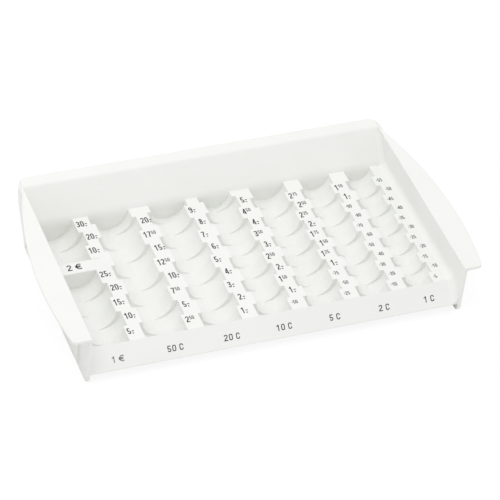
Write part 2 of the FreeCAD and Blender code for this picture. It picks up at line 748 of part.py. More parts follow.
def build_side_wall(side, label):
    body = new_body("side_wall_%s" % label)
    start_x = wall_inner_x * side
    profile = new_sketch(body, "wall_profile_%s" % label, "YZ_Plane", start_x)
    draw_outline(profile, [
        (wall_front_y, ZERO, foot_corner_radius),
        (panel_foot_y - wall_foot_rear, ZERO),
        (tray_back_y, rim_height, lip_round_radius),
        (wall_front_y, rim_height),
    ])
    pad(body, profile, "wall_pad_%s" % label, wall_thickness, side < 0)

    wing_sketch = new_sketch(body, "wing_plan_%s" % label, "XY_Plane", rim_height)
    draw_wing(wing_sketch, side)
    wing = pad(body, wing_sketch, "wing_pad_%s" % label, wing_thickness, True)

    doc.recompute()
    corner = body.newObject("PartDesign::Fillet", "wing_corner_%s" % label)
    corner.Base = (wing, [outer_front_edge(wing.Shape)])
    corner.setExpression("Radius", wing_corner_radius.text)
    body.Tip = corner

    rib_sketch = new_sketch(body, "rib_%s" % label, "XY_Plane", rib_foot_height)
    rib_inner = wall_middle_x * side
    rib_outer = (wall_outer_x + rib_reach) * side
    rib_front = channel_front_y + rib_first_place - rib_width / 2
    rib_back = rib_front + rib_width
    draw_outline(rib_sketch, [
        (rib_inner, rib_front),
        (rib_outer, rib_front),
        (rib_outer, rib_back),
        (rib_inner, rib_back),
    ])
    rib_length = rim_height - wing_thickness / 2 - rib_foot_height
    rib = pad(body, rib_sketch, "rib_pad_%s" % label, rib_length, False)
    repeat_along_y(body, rib, "ribs_%s" % label, rib_spacing, rib_count)

    waste_sketch = new_sketch(body, "wall_corner_%s" % label, "XY_Plane")
    draw_corner_waste(waste_sketch, side)
    cut_through(body, waste_sketch, "wall_corner_cut_%s" % label)
    return body


bodies.append(build_side_wall(-1, "left"))
bodies.append(build_side_wall(1, "right"))

doc.recompute()

# Every object has to be sound before anything is written.
for item in doc.Objects:
    if "Invalid" in item.State or "Error" in item.State:
        raise RuntimeError("%s could not be made: %s" % (item.Name, item.State))
for body in bodies:
    shape = body.Shape
    if shape.isNull() or not shape.isValid() or len(shape.Solids) != 1:
        raise RuntimeError("%s is not one sound solid" % body.Label)

os.makedirs("parts", exist_ok=True)
for body in bodies:
    body.Shape.exportStep(os.path.join("parts", "%s.step" % body.Label))
    box = body.Shape.BoundBox
    print("%-16s volume %9.1f  x %7.1f %7.1f  y %6.1f %6.1f  z %5.1f %5.1f" % (
        body.Label, body.Shape.Volume, box.XMin, box.XMax, box.YMin, box.YMax, box.ZMin, box.ZMax))
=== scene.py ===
import math
import bmesh
import bpy
from mathutils import Euler, Matrix, Vector


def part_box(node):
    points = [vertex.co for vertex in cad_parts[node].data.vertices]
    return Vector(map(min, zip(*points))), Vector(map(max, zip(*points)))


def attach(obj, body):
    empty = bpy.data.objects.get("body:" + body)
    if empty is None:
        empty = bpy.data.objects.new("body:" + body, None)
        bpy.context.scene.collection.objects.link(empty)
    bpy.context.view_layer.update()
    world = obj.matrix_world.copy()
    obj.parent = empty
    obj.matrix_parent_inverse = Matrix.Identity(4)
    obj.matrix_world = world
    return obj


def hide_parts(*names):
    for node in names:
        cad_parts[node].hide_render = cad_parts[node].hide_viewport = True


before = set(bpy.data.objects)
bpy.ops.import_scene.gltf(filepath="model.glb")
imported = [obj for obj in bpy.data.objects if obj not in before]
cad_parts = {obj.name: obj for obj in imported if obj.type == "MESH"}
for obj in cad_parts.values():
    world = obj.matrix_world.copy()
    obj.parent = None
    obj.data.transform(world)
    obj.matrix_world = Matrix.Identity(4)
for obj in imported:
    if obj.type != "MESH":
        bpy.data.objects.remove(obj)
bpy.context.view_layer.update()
MM = 0.001

# The plastic: one off-white injection moulding, seen on every piece. It has a
# fine even grain from the mould, faint clouding in its colour, and a soft
# satin sheen that is a little shinier in some places than in others.
PLASTIC_COLOUR = (0.865, 0.870, 0.845)
PLASTIC_CLOUD = (0.840, 0.846, 0.818)
CLOUD_SIZE = 28 * MM
CLOUD_FROM = 0.35
CLOUD_CONTRAST = 2.2
GRAIN_SIZE = 0.35 * MM
GRAIN_DEPTH = 0.05 * MM
GRAIN_STRENGTH = 0.12
RUBBED_SIZE = 70 * MM
SATIN = 0.40
SATIN_SPREAD = 0.14


class Wire:
    """A socket of a node tree that Python's arithmetic signs work on."""

    def __init__(self, tree, socket=None):
        self.tree = tree
        self.socket = socket

    def node(self, kind, settings=None, inputs=None, output=0):
        """Add a node. Its settings come first, then its sockets' values or links."""
        made = self.tree.nodes.new(kind)
        for name, value in (settings or {}).items():
            setattr(made, name, value)
        for key, value in (inputs or {}).items():
            if isinstance(value, Wire):
                self.tree.links.new(value.socket, made.inputs[key])
            else:
                made.inputs[key].default_value = value
        return Wire(self.tree, made.outputs[output] if made.outputs else None)

    def maths(self, operation, *values):
        return self.node("ShaderNodeMath", {"operation": operation}, dict(enumerate(values)))

    def __add__(self, other):
        return self.maths("ADD", self, other)

    def __radd__(self, other):
        return self.maths("ADD", other, self)

    def __sub__(self, other):
        return self.maths("SUBTRACT", self, other)

    def __rsub__(self, other):
        return self.maths("SUBTRACT", other, self)

    def __mul__(self, other):
        return self.maths("MULTIPLY", self, other)

    def __rmul__(self, other):
        return self.maths("MULTIPLY", other, self)

    def __truediv__(self, other):
        return self.maths("DIVIDE", self, other)

    def __rtruediv__(self, other):
        return self.maths("DIVIDE", other, self)


def empty_material(name):
    """A material without nodes, and a wire from which its nodes are added."""
    material = bpy.data.materials.new(name)
    material.use_nodes = True
    material.node_tree.nodes.clear()
    return material, Wire(material.node_tree)


def patches(place, size, detail, roughness):
    """Noise whose patches are about as large as the given size."""
    return place.node("ShaderNodeTexNoise", {"noise_dimensions": "3D"}, {
        "Vector": place, "Scale": 1 / size, "Detail": detail, "Roughness": roughness})


def blended(factor, first, second):
    """A colour between two. The Mix node's sockets share names, so they go by number."""
    factor_in, first_in, second_in, colour_out = 0, 6, 7, 2
    return factor.node("ShaderNodeMix", {"data_type": "RGBA"}, {
        factor_in: factor, first_in: (*first, 1), second_in: (*second, 1)}, colour_out)


def moulded_plastic():
    material, start = empty_material("moulded_plastic")
    place = start.node("ShaderNodeTexCoord", output="Object")
    cloud = patches(place, CLOUD_SIZE, detail=3.0, roughness=0.55)
    grain = patches(place, GRAIN_SIZE, detail=2.0, roughness=0.6)
    rubbed = patches(place, RUBBED_SIZE, detail=4.0, roughness=0.65)
    colour = blended((cloud - CLOUD_FROM) * CLOUD_CONTRAST, PLASTIC_COLOUR, PLASTIC_CLOUD)
    bump = start.node("ShaderNodeBump", inputs={
        "Height": grain, "Strength": GRAIN_STRENGTH, "Distance": GRAIN_DEPTH})
    surface = start.node("ShaderNodeBsdfPrincipled", inputs={
        "Base Color": colour, "Roughness": SATIN + rubbed * SATIN_SPREAD, "Normal": bump,
        "IOR": 1.49, "Specular IOR Level": 0.42})
    start.node("ShaderNodeOutputMaterial", inputs={"Surface": surface})
    return material


plastic = moulded_plastic()

# Coin channels: half-round gutters moulded into the deck, of segments that are
# five coins long and stand to the left and to the right in turn, so that a thin
# crescent shows at each joint. Diameters and segment lengths are in millimetres.
COIN_DIAMETER = {"2_euro": 25.75, "1_euro": 23.25, "50_cent": 24.25, "20_cent": 22.25,
                 "10_cent": 19.75, "5_cent": 21.25, "2_cent": 18.75, "1_cent": 16.25}
SEGMENT_LENGTH = {"2_euro": 11.35, "1_euro": 11.75, "50_cent": 11.9, "20_cent": 10.75,
                  "10_cent": 9.75, "5_cent": 8.5, "2_cent": 8.5, "1_cent": 8.5}
LEAST_SEGMENT_SHARE = 0.15
COIN_PLAY = 0.1 * MM
SEGMENT_SHIFT = 1.2 * MM
CHANNEL_DROP = 0.2 * MM
DECK_THICKNESS = 2.0 * MM
SHELL_THICKNESS = 1.5 * MM
EDGE_ROUND = 0.35 * MM
JOINT_LENGTH = 0.15 * MM
deck_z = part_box("divider_strip")[1].z

# How the channel's mesh is divided: rows along it, of which some stand close
# together at each joint, and columns from its middle out to either side, with
# shares on the arc, the rounded edge and the flat deck. A nudge keeps a row that
# lies on a joint from being rounded down.
ROWS_IN_SEGMENT = 5
ROWS_AT_JOINT = 3
COLUMNS_IN_HALF = 32
ARC_SHARE = 0.75
ROUND_SHARE = 0.125
FLAT_SHARE = 1 - ARC_SHARE - ROUND_SHARE
LAST_COLUMN_FROM = 0.99
ROW_NUDGE = 0.0001
JOINT_NUDGE = 0.00001
CHANNEL_WELD = 0.004 * MM
CHANNEL_SHARP_FROM = math.radians(38)


def coin_radius(coin):
    return COIN_DIAMETER[coin] / 2 * MM


def tree_with_inputs(name, lengths, count):
    """An empty geometry tree with named inputs, and the wires from them."""
    tree = bpy.data.node_groups.new(name, "GeometryNodeTree")
    for label in lengths:
        tree.interface.new_socket(label, in_out="INPUT", socket_type="NodeSocketFloat")
    tree.interface.new_socket(count, in_out="INPUT", socket_type="NodeSocketInt")
    tree.interface.new_socket("Plastic", in_out="INPUT", socket_type="NodeSocketMaterial")
    tree.interface.new_socket("Geometry", in_out="OUTPUT", socket_type="NodeSocketGeometry")
    group_input = tree.nodes.new("NodeGroupInput")
    return tree, {socket.name: Wire(tree, socket) for socket in group_input.outputs}


def end_tree(shape, given_plastic):
    """Make the instances real, give them the plastic and lead them out of the tree."""
    shape = shape.node("GeometryNodeRealizeInstances", inputs={"Geometry": shape})
    shape = shape.node("GeometryNodeSetMaterial", inputs={
        "Geometry": shape, "Material": given_plastic})
    group_output = shape.tree.nodes.new("NodeGroupOutput")
    shape.tree.links.new(shape.socket, group_output.inputs[0])


def channel_tree():
    """A tree that makes one channel, with its underside, as a closed shell."""
    tree, given = tree_with_inputs("coin_channel", (
        "Coin radius", "Segment length", "Channel length", "Left edge", "Right edge"), "Segments")
    start = Wire(tree)
    length = given["Channel length"]
    pitch = given["Segment length"]
    segments = given["Segments"]
    radius = given["Coin radius"] + COIN_PLAY
    rows = segments * ROWS_IN_SEGMENT + 1

    def clamp(value):
        return start.node("ShaderNodeClamp", inputs={"Value": value})

    def along_channel(part):
        """Y for a part from 0 to 1, with rows gathered at each joint."""
        count = part * segments + ROW_NUDGE
        block = start.maths("FLOOR", count)
        inside = count - block
        joint_share = ROWS_AT_JOINT / ROWS_IN_SEGMENT
        on_joint = start.maths("MINIMUM", inside, joint_share) / joint_share * JOINT_LENGTH
        past_joint = clamp((inside - joint_share) / (1 - joint_share)) * (pitch - JOINT_LENGTH)
        at_end = start.maths("GREATER_THAN", count, segments)
        y = block * pitch + on_joint + past_joint + at_end * length
        return start.maths("MINIMUM", y, length)

    def sideways(y):
        """How far the hollow stands to the right, which changes over at each joint."""
        number = start.maths("FLOOR", y / pitch + JOINT_NUDGE)
        number = start.maths("MINIMUM", number, segments - 1)
        is_odd = number - 2 * start.maths("FLOOR", number / 2)
        through = clamp((y - number * pitch) / JOINT_LENGTH)
        settled = through * through * (3 - 2 * through)
        has_joint = start.maths("GREATER_THAN", number, 0.5)
        return SEGMENT_SHIFT * (2 * is_odd - 1) * (1 - 2 * (1 - settled) * has_joint)

    def hollow(side, right, y):
        """X and Z of the channel's inside, its rounded edge and the flat deck."""
        away = start.maths("ABSOLUTE", side)
        offset = sideways(y) * (right * 2 - 1)
        edge = right * given["Right edge"] + (1 - right) * given["Left edge"]
        last_angle = start.maths("ARCCOSINE", (EDGE_ROUND - CHANNEL_DROP) / radius)
        angle = last_angle * clamp(away / ARC_SHARE)
        rounding = clamp((away - ARC_SHARE) / ROUND_SHARE)
        flat = clamp((away - (ARC_SHARE + ROUND_SHARE)) / FLAT_SHARE)
        flat = flat * flat
        arc_end = radius * start.maths("SINE", last_angle)
        rest = 1 - rounding
        rounded = rest * rest * arc_end + 2 * rest * rounding * radius
        rounded = rounded + rounding * rounding * (radius + EDGE_ROUND)
        x = offset + radius * start.maths("SINE", angle) + (rounded - arc_end)
        x = x + flat * (edge - offset - radius - EDGE_ROUND)
        z = (1 - rest * rest) * EDGE_ROUND - CHANNEL_DROP - radius * start.maths("COSINE", angle)
        return start.maths("MINIMUM", x, edge), z

    def underside(side, right):
        """X and Z of the round shell under the channel and the deck's flat underside."""
        away = start.maths("ABSOLUTE", side)
        edge = right * given["Right edge"] + (1 - right) * given["Left edge"]
        shell_radius = radius + SHELL_THICKNESS
        last_angle = start.maths("ARCCOSINE", (DECK_THICKNESS - CHANNEL_DROP) / shell_radius)
        first_column = 1 / COLUMNS_IN_HALF
        angle = last_angle * clamp((away - first_column) / (ARC_SHARE - first_column))
        flat = clamp((away - ARC_SHARE) / (1 - first_column - ARC_SHARE))
        arc_end = SEGMENT_SHIFT + shell_radius * start.maths("SINE", last_angle)
        x = SEGMENT_SHIFT * clamp(away / first_column) + shell_radius * start.maths("SINE", angle)
        x = x + flat * (edge - arc_end)
        z = -CHANNEL_DROP - shell_radius * start.maths("COSINE", angle)
        at_edge = start.maths("GREATER_THAN", away, LAST_COLUMN_FROM)
        return start.maths("MINIMUM", x, edge), z * (1 - at_edge)

    def grid(row_count):
        """A flat grid, and its points' places from -1 to 1 across and 0 to 1 along."""
        mesh = start.node("GeometryNodeMeshGrid", inputs={
            "Size X": 1.0, "Size Y": 1.0, "Vertices X": COLUMNS_IN_HALF * 2 + 1, "Vertices Y": row_count})
        position = start.node("GeometryNodeInputPosition")
        across = start.node("ShaderNodeSeparateXYZ", inputs={0: position}, output="X")
        along = start.node("ShaderNodeSeparateXYZ", inputs={0: position}, output="Y")
        side = across * 2
        right = start.maths("GREATER_THAN", side, 0.0)
        return mesh, side, right, along + 0.5

    def placed(mesh, right, x, y, z):
        """The grid with its points moved. X is given outwards from the channel's middle."""
        signed_x = x * (right * 2 - 1)
        place = start.node("ShaderNodeCombineXYZ", inputs={"X": signed_x, "Y": y, "Z": z})
        return start.node("GeometryNodeSetPosition", inputs={"Geometry": mesh, "Position": place})

    mesh, side, right, part = grid(rows)
    y = along_channel(part)
    x, z = hollow(side, right, y)
    top = placed(mesh, right, x, y, z)

    # The underside has one row more at each end, which lies on the channel's
    # rim and so closes the two ends.
    mesh, side, right, part = grid(rows + 2)
    row = part * (rows + 1)
    y = along_channel(clamp((row - 1) / (rows - 1)))
    x_top, z_top = hollow(side, right, y)
    x_under, z_under = underside(side, right)
    in_first_row = start.maths("LESS_THAN", row, 0.5)
    in_last_row = start.maths("GREATER_THAN", row, rows + 0.5)
    at_end = clamp(in_first_row + in_last_row)
    x = at_end * x_top + (1 - at_end) * x_under
    z = at_end * z_top + (1 - at_end) * z_under
    under = placed(mesh, right, x, y, z)
    under = start.node("GeometryNodeFlipFaces", inputs={"Mesh": under})

    join = tree.nodes.new("GeometryNodeJoinGeometry")
    tree.links.new(under.socket, join.inputs[0])
    tree.links.new(top.socket, join.inputs[0])
    shell = start.node("GeometryNodeMergeByDistance", inputs={
        "Geometry": Wire(tree, join.outputs[0]), "Distance": CHANNEL_WELD})
    fold = start.node("GeometryNodeInputMeshEdgeAngle")
    sharp = start.maths("GREATER_THAN", fold, CHANNEL_SHARP_FROM)
    shell = start.node("GeometryNodeStoreNamedAttribute", {"data_type": "BOOLEAN", "domain": "EDGE"}, {
        "Geometry": shell, "Name": "sharp_edge", "Value": sharp})
    end_tree(shell, given["Plastic"])
    return tree


coin_channel = channel_tree()


def grown_mesh(name, tree, values):
    """The mesh that a tree makes from the values given for its named inputs."""
    seed = bpy.data.objects.new(name + "_seed", bpy.data.meshes.new(name + "_seed"))
    bpy.context.scene.collection.objects.link(seed)
    modifier = seed.modifiers.new(name, "NODES")
    modifier.node_group = tree
    identifiers = {item.name: item.identifier for item in tree.interface.items_tree}
    for label, value in values.items():
        modifier[identifiers[label]] = value
    view = bpy.context.evaluated_depsgraph_get()
    mesh = bpy.data.meshes.new_from_object(seed.evaluated_get(view))
    mesh.name = name
    bpy.data.objects.remove(seed)
    return mesh


def finish_piece(name, mesh, material, nodes=()):
    """Make the object, put it on the tray's body and hide the nodes it stands for."""
    mesh.materials.clear()
    mesh.materials.append(material)
    piece = bpy.data.objects.new(name, mesh)
    bpy.context.scene.collection.objects.link(piece)
    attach(piece, "root")
    if nodes:
        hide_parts(*nodes)


def build_channel(coin, centre_x, front_y, back_y, left_edge, right_edge):
    """One channel. The last segment takes a short rest at the channel's end."""
    pitch = SEGMENT_LENGTH[coin] * MM
    segments = math.ceil((back_y - front_y) / pitch - LEAST_SEGMENT_SHARE)
    mesh = grown_mesh("channel_" + coin, coin_channel, {
        "Coin radius": coin_radius(coin), "Segment length": pitch,
        "Channel length": back_y - front_y, "Left edge": left_edge, "Right edge": right_edge,
        "Segments": segments, "Plastic": plastic})
    mesh.transform(Matrix.Translation((centre_x, front_y, deck_z)))
    mesh.shade_smooth()
    finish_piece("channel_" + coin, mesh, plastic, ["trough_" + coin])


# Where the channels are: side by side from the left-hand wall, with a flat
# ridge between two neighbours. The first column holds two channels, one behind
# the other, whose right-hand sides are in line.
COLUMNS = ("2_euro", "50_cent", "20_cent", "10_cent", "5_cent", "2_cent", "1_cent")
HALF_RIDGE = 5.0 * MM
FIRST_RIDGE = 9.45 * MM
LEFT_MARGIN = 1.15 * MM
INTO_WALL = 0.05 * MM
INTO_PANEL = 1.2 * MM
wall_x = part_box("front_band")[1].x
column_x = {"2_euro": -wall_x + coin_radius("2_euro") + LEFT_MARGIN}
for before, after in zip(COLUMNS, COLUMNS[1:]):
    ridge = FIRST_RIDGE if before == "2_euro" else 2 * HALF_RIDGE
    column_x[after] = column_x[before] + coin_radius(before) + ridge + coin_radius(after)
column_x["1_euro"] = column_x["2_euro"] + coin_radius("2_euro") - coin_radius("1_euro")
channel_y = {}
for coin in COIN_DIAMETER:
    low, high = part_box("trough_" + coin)
    channel_y[coin] = (low.y, high.y)
    left_edge = coin_radius(coin) + HALF_RIDGE
    right_edge = left_edge
    if coin == "50_cent":
        left_edge = coin_radius(coin) + FIRST_RIDGE / 2
    if coin in ("2_euro", "1_euro"):
        left_edge = column_x[coin] + wall_x + INTO_WALL
        right_edge = column_x["2_euro"] + coin_radius("2_euro") + FIRST_RIDGE / 2 - column_x[coin]
    if coin == "1_cent":
        right_edge = wall_x - column_x[coin]
    end_y = high.y if coin == "1_euro" else high.y + INTO_PANEL
    build_channel(coin, column_x[coin], low.y, end_y, left_edge, right_edge)
channel_front_y, channel_back_y = channel_y["50_cent"]


# Divider strip: a narrow bridge, moulded across the first column between its
# two channels. It is a flat top on two thin walls, which close the channels.
STRIP_WALL = 2.0 * MM
CORNER_STEPS = 6
FLAT_AREA = 150 * MM * MM
MESH_WELD = 0.002 * MM
SHARP_FROM = math.radians(28)


def rounded_section(corners, steps=CORNER_STEPS):
    """The points of a closed outline. A corner with a radius becomes an arc."""
    points = []
    for index, corner in enumerate(corners):
        here = Vector(corner[:2])
        if len(corner) == 2:
            points.append(here)
            continue
        radius = corner[2]
        back = (Vector(corners[index - 1][:2]) - here).normalized()
        ahead = (Vector(corners[(index + 1) % len(corners)][:2]) - here).normalized()
        half = back.angle(ahead) / 2
        centre = here + (back + ahead).normalized() * (radius / math.sin(half))
        first = here + back * (radius / math.tan(half)) - centre
        turn = first.angle_signed(here + ahead * (radius / math.tan(half)) - centre)
        for step in range(steps + 1):
            spin = Matrix.Rotation(-turn * step / steps, 2)
            points.append(centre + spin @ first)
    return points


def bridge_rings(shape, first, second):
    """Fill the band between two closed rings that have equally many points."""
    count = len(first)
    for index in range(count):
        after = (index + 1) % count
        shape.faces.new((first[index], first[after], second[after], second[index]))


def closed_mesh(name, shape):
    """Turn the faces outwards, smooth the small ones and keep the sharp edges sharp."""
    bmesh.ops.remove_doubles(shape, verts=shape.verts, dist=MESH_WELD)
    bmesh.ops.recalc_face_normals(shape, faces=shape.faces)
    for face in shape.faces:
        face.smooth = face.calc_area() < FLAT_AREA
    for edge in shape.edges:
        if len(edge.link_faces) == 2 and edge.calc_face_angle(0) > SHARP_FROM:
            edge.smooth = False
    mesh = bpy.data.meshes.new(name)
    shape.to_mesh(mesh)
    shape.free()
    return mesh


def moulding(name, section, end_x):
    """A mesh with one section in YZ all along. end_x gives both ends' X for a Y."""
    shape = bmesh.new()
    rings = []
    for x in (-1, 1):
        rings.append([shape.verts.new((x, point.x, point.y)) for point in section])
    bridge_rings(shape, *rings)
    caps = [shape.faces.new(ring) for ring in rings]
    bmesh.ops.triangulate(shape, faces=caps, quad_method="BEAUTY", ngon_method="BEAUTY")
    for side, ring in enumerate(rings):
        for vertex in ring:
            vertex.co.x = end_x(vertex.co.y)[side]
    return closed_mesh(name, shape)


def build_divider():
    low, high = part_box("divider_strip")
    under_z = deck_z - STRIP_WALL
    front_wall_y = low.y + STRIP_WALL
    back_wall_y = high.y - STRIP_WALL
    section = rounded_section([
        (low.y, low.z), (front_wall_y, low.z), (front_wall_y, under_z), (back_wall_y, under_z),
        (back_wall_y, low.z), (high.y, low.z), (high.y, deck_z, EDGE_ROUND), (low.y, deck_z, EDGE_ROUND)])
    mesh = moulding("cross_strip", section, lambda y: (low.x, high.x))
    finish_piece("cross_strip", mesh, plastic, ["divider_strip"])


build_divider()


# Front band: a sheet that slopes down from the deck at 45 degrees, with the
# coin names on it. An upright wall under its upper edge closes the channels.
# It has one section all along, from one side wall to the other.
BAND_SLANT = math.radians(45)
BAND_SHEET = 1.8 * MM
BAND_EDGE_ROUND = 0.4 * MM
CLOSING_WALL = 2.0 * MM


def build_front_band():
    low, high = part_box("front_band")
    sheet = BAND_SHEET / math.sqrt(2)
    foot_z = deck_z - (high.y - low.y)
    wall_y = high.y - CLOSING_WALL
    section = rounded_section([
        (high.y, deck_z), (low.y, foot_z, BAND_EDGE_ROUND), (low.y + sheet, foot_z - sheet, BAND_EDGE_ROUND),
        (wall_y, deck_z - CLOSING_WALL - 2 * sheet), (wall_y, low.z), (high.y, low.z)])
    mesh = moulding("sloping_band", section, lambda y: (low.x, high.x))
    finish_piece("sloping_band", mesh, plastic, ["front_band"])


build_front_band()


# Back panel: a sheet that slopes up behind the channels, on a rounded foot, to
# a flat lip with a rounded edge. An upright wall under its foot closes the
# channels. The lip's ends follow the round of the tray's rear corners.
PANEL_RUN = 15.4 * MM
PANEL_FOOT_ROUND = 10.0 * MM
LIP_WIDTH = 8.3 * MM
LIP_BEND = 2.6 * MM
LIP_EDGE_ROUND = 1.2 * MM
LIP_UNDER_ROUND = 0.5 * MM
RIM_SHEET = 2.0 * MM
REAR_CORNER = 8.5 * MM
LONG_STRETCH = 2 * MM
PARTS_AT_CORNER = 10
WALL_THICKNESS = 2.0 * MM
rim_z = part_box("back_panel")[1].z
back_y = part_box("back_panel")[1].y
outer_x = wall_x + WALL_THICKNESS
corner_x = outer_x - REAR_CORNER
corner_y = back_y - REAR_CORNER


def corner_reach(past):
    """How far the round rear corner reaches beyond its centre in one direction,
    at a place that lies so far past the centre in the other."""
    return math.sqrt(max(REAR_CORNER ** 2 - past ** 2, 0))


def build_back_panel():
    low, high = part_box("back_panel")
    rise = rim_z - deck_z
    slope = math.atan2(rise, PANEL_RUN)
    under_y = RIM_SHEET * math.sin(slope)
    under_z = RIM_SHEET * math.cos(slope)
    lip_under_y = low.y + under_y + (rise - RIM_SHEET + under_z) / math.tan(slope)
    points = rounded_section([
        (low.y, low.z), (low.y, deck_z, PANEL_FOOT_ROUND), (low.y + PANEL_RUN, rim_z, LIP_BEND),
        (high.y, rim_z, LIP_EDGE_ROUND), (high.y, rim_z - RIM_SHEET, LIP_UNDER_ROUND),
        (lip_under_y, rim_z - RIM_SHEET),
        (low.y + CLOSING_WALL, deck_z - under_z + (CLOSING_WALL - under_y) * math.tan(slope)),
        (low.y + CLOSING_WALL, low.z)])
    section = []
    for point, after in zip(points, points[1:] + points[:1]):
        at_corner = (after - point).length > LONG_STRETCH and max(point.x, after.x) > corner_y
        parts = PARTS_AT_CORNER if at_corner else 1
        section += [point.lerp(after, part / parts) for part in range(parts)]

    def end(y):
        reach = min(corner_x + corner_reach(max(y - corner_y, 0)), wall_x)
        return -reach, reach

    mesh = moulding("sloping_back", section, end)
    finish_piece("sloping_back", mesh, plastic, ["back_panel"])


build_back_panel()


# Side walls: upright walls, moulded with the deck, that stand on the table on
# their lower edge. Each carries a flat wing on top, whose outer edge is one long
# curve, and short upright ribs stiffen it from below.
WING_REACH = 14.9 * MM
WING_WIDEST = 33.0 * MM
WING_REAR_SETBACK = 11.3 * MM
WING_CORNER = 3.0 * MM
WING_EDGE_ROUND = 0.5 * MM
FOOT_CORNER = 3.0 * MM
FOOT_SETBACK = 0.5 * MM
REAR_STEPS = 30
OPEN_CORNER_STEPS = 8
CURVE_STEPS = 48
CUT_STEPS = 12
EDGE_STEPS = 4
WALL_SLICES = 6
LEAST_MITRE = 0.5
TOUCHING = 0.01 * MM
wall_front_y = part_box("side_wall_left")[0].y
wall_top_z = rim_z - RIM_SHEET


def wall_outline():
    """The upright wall from the side, up to the wing's underside."""
    foot_y = channel_back_y - FOOT_SETBACK
    lean = (back_y - foot_y) / rim_z
    rear = []
    for step in range(REAR_STEPS, 0, -1):
        z = wall_top_z * step / REAR_STEPS
        rear.append((foot_y + lean * z, z))
    front = [(wall_front_y, 0, FOOT_CORNER), (wall_front_y, wall_top_z)]
    return rounded_section([*front, *rear, (foot_y, 0)], OPEN_CORNER_STEPS)


def wing_outline():
    """The wing from above, on the right-hand side, front corner first."""
    widest_y = channel_front_y + WING_WIDEST
    rear_y = back_y - WING_REAR_SETBACK
    bulge = WING_REACH - WALL_THICKNESS / 2
    half_chord = rear_y - widest_y
    radius = (half_chord ** 2 + bulge ** 2) / (2 * bulge)
    centre_x = wall_x + WING_REACH - radius

    def edge_x(y):
        return max(centre_x + math.sqrt(radius ** 2 - (y - widest_y) ** 2), outer_x)

    # The front corner's arc leaves towards a point further along the curve.
    front_x = edge_x(wall_front_y)
    slant_x = edge_x(wall_front_y + WING_CORNER)
    further = 3
    ahead = (slant_x + (slant_x - front_x) * further, wall_front_y + WING_CORNER * (1 + further))
    corner = rounded_section([
        (wall_x, wall_front_y), (front_x, wall_front_y, WING_CORNER), ahead], OPEN_CORNER_STEPS)[:-1]
    first_y = corner[-1].y
    curve = []
    for step in range(1, CURVE_STEPS + 1):
        y = first_y + (corner_y - first_y) * step / CURVE_STEPS
        curve.append(Vector((edge_x(y), y)))
    cut = []
    for step in range(1, CUT_STEPS + 1):
        y = corner_y + REAR_CORNER * step / CUT_STEPS
        x = corner_x + corner_reach(y - corner_y)
        if x > wall_x:
            cut.append(Vector((x, y)))
    cut_end_y = corner_y + corner_reach(REAR_CORNER - WALL_THICKNESS)
    return corner + curve + cut + [Vector((wall_x, cut_end_y)), Vector((wall_x, back_y - LIP_WIDTH))]


def wing_slab(shape, outline, side):
    """A slab with rounded open edges. The edge that meets the back lip stays square."""
    count = len(outline)
    lip_front_y = back_y - LIP_WIDTH
    turns = [math.pi / 2 * step / EDGE_STEPS for step in range(EDGE_STEPS + 1)]
    levels = [(wall_top_z + WING_EDGE_ROUND * (1 - math.cos(turn)), 1 - math.sin(turn)) for turn in turns]
    levels += [(rim_z - WING_EDGE_ROUND * (1 - math.sin(turn)), 1 - math.cos(turn)) for turn in turns]
    rings = []
    for z, inset_share in levels:
        ring = []
        for index, point in enumerate(outline):
            back = point - outline[index - 1]
            ahead = outline[(index + 1) % count] - point
            normal = Vector((back.y, -back.x)).normalized() + Vector((ahead.y, -ahead.x)).normalized()
            normal = normal / max(normal.length_squared / 2, LEAST_MITRE)
            inner = abs(point.x - wall_x) < TOUCHING
            fixed = inner and (point.y > lip_front_y - TOUCHING or z < rim_z - WING_EDGE_ROUND)
            inset = 0 if fixed else WING_EDGE_ROUND * inset_share
            spot = point - normal * inset
            ring.append(shape.verts.new((spot.x * side, spot.y, z)))
        rings.append(ring)
    for lower, upper in zip(rings, rings[1:]):
        bridge_rings(shape, lower, upper)
    shape.faces.new(rings[0])
    shape.faces.new(rings[-1])


RIB_WIDTH = 1.8 * MM
RIB_REACH = 1.5 * MM
RIB_ROOT = 0.2 * MM
RIB_FIRST = 4.0 * MM
RIB_FOOT = 4.4 * MM
RIB_COUNT = 4


def rib_tree():
    """A tree that stands a row of narrow ribs along a wall."""
    tree, given = tree_with_inputs("rib_row", ("Width", "Reach", "Height", "Spacing"), "Count")
    start = Wire(tree)
    size = start.node("ShaderNodeCombineXYZ", inputs={
        "X": given["Reach"], "Y": given["Width"], "Z": given["Height"]})
    rib = start.node("GeometryNodeMeshCube", inputs={"Size": size})
    pitch = start.node("ShaderNodeCombineXYZ", inputs={"Y": given["Spacing"]})
    line = start.node("GeometryNodeMeshLine", inputs={"Count": given["Count"], "Offset": pitch})
    row = start.node("GeometryNodeInstanceOnPoints", inputs={"Points": line, "Instance": rib})
    end_tree(row, given["Plastic"])
    return tree


rib_row = rib_tree()


def build_ribs(label, side):
    """The ribs on the outside of one wall, rooted a little way in it."""
    height = wall_top_z - RIB_FOOT
    spacing = (channel_back_y - channel_front_y - 2 * RIB_FIRST) / (RIB_COUNT - 1)
    ribs = grown_mesh("ribs_" + label, rib_row, {
        "Width": RIB_WIDTH, "Reach": RIB_REACH + RIB_ROOT, "Height": height,
        "Spacing": spacing, "Count": RIB_COUNT, "Plastic": plastic})
    rib_x = (outer_x + (RIB_REACH - RIB_ROOT) / 2) * side
    ribs.transform(Matrix.Translation((rib_x, channel_front_y + RIB_FIRST, RIB_FOOT + height / 2)))
    finish_piece("wall_ribs_" + label, ribs, plastic)


